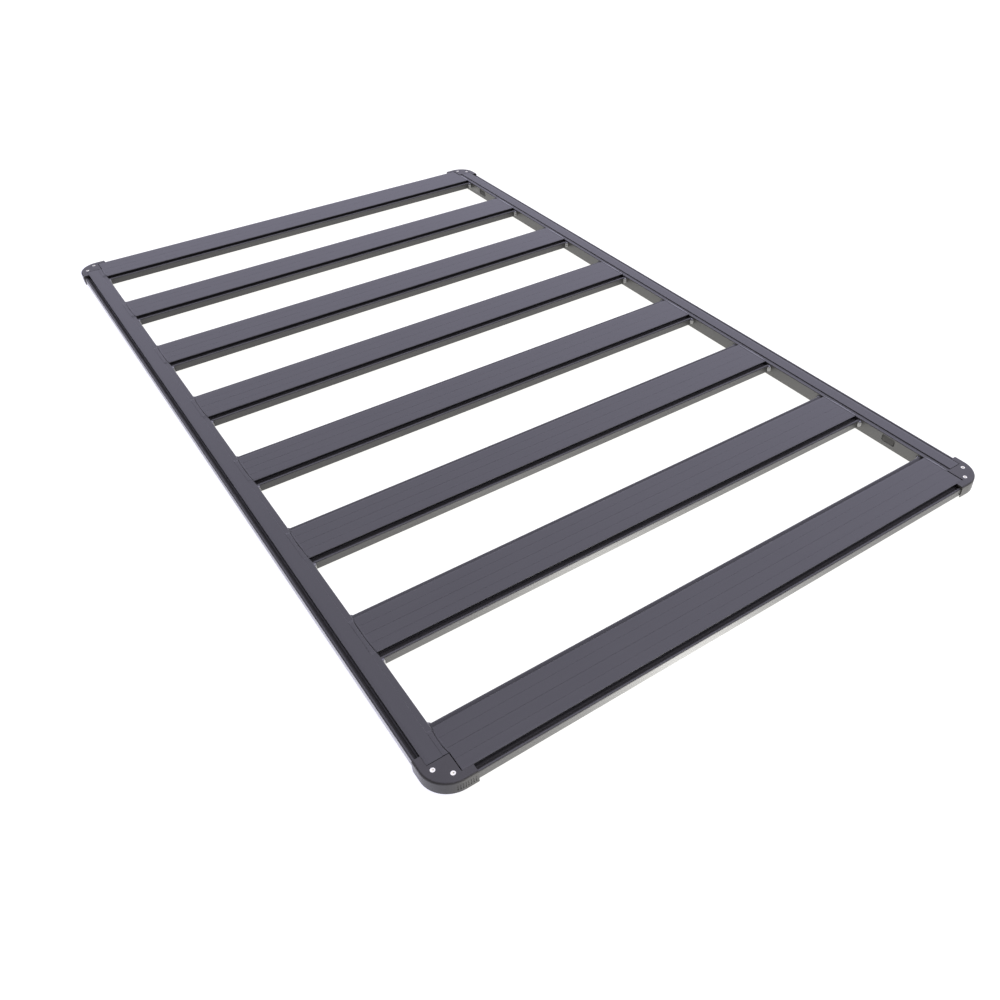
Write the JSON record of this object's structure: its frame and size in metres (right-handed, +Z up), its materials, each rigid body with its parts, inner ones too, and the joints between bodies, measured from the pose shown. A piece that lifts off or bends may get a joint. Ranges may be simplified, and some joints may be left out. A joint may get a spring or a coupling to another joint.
{
  "type": "flat platform roof rack",
  "caption": "Flat rectangular roof rack platform of wide cross slats welded between side rails, with accessory channels along the edges and rounded corner caps.",
  "frame": {"origin": "centre of the platform on the plane of its underside", "axes": "+X along the cross slats, +Y along the side rails, +Z up"},
  "size_m": [1.285, 2.125, 0.032],
  "materials": {
    "powder_coated_aluminium": "satin powder coat",
    "cap_plastic": "fine moulded texture",
    "screw_steel": "bright plated"
  },
  "bodies": {
    "root": {"left_side_rail": "powder_coated_aluminium", "right_side_rail": "powder_coated_aluminium", "front_end_beam": "powder_coated_aluminium", "cross_slat_2": "powder_coated_aluminium", "cross_slat_3": "powder_coated_aluminium", "cross_slat_4": "powder_coated_aluminium", "cross_slat_5": "powder_coated_aluminium", "cross_slat_6": "powder_coated_aluminium", "cross_slat_7": "powder_coated_aluminium", "rear_end_beam": "powder_coated_aluminium", "front_left_corner_cap": "cap_plastic", "front_right_corner_cap": "cap_plastic", "rear_left_corner_cap": "cap_plastic", "rear_right_corner_cap": "cap_plastic", "front_left_cap_screws": "screw_steel", "front_right_cap_screws": "screw_steel", "rear_left_cap_screws": "screw_steel", "rear_right_cap_screws": "screw_steel", "front_end_beam_left_welds": "powder_coated_aluminium", "front_end_beam_right_welds": "powder_coated_aluminium", "cross_slat_2_left_welds": "powder_coated_aluminium", "cross_slat_2_right_welds": "powder_coated_aluminium", "cross_slat_3_left_welds": "powder_coated_aluminium", "cross_slat_3_right_welds": "powder_coated_aluminium", "cross_slat_4_left_welds": "powder_coated_aluminium", "cross_slat_4_right_welds": "powder_coated_aluminium", "cross_slat_5_left_welds": "powder_coated_aluminium", "cross_slat_5_right_welds": "powder_coated_aluminium", "cross_slat_6_left_welds": "powder_coated_aluminium", "cross_slat_6_right_welds": "powder_coated_aluminium", "cross_slat_7_left_welds": "powder_coated_aluminium", "cross_slat_7_right_welds": "powder_coated_aluminium", "rear_end_beam_left_welds": "powder_coated_aluminium", "rear_end_beam_right_welds": "powder_coated_aluminium"}
  },
  "joints": []
}
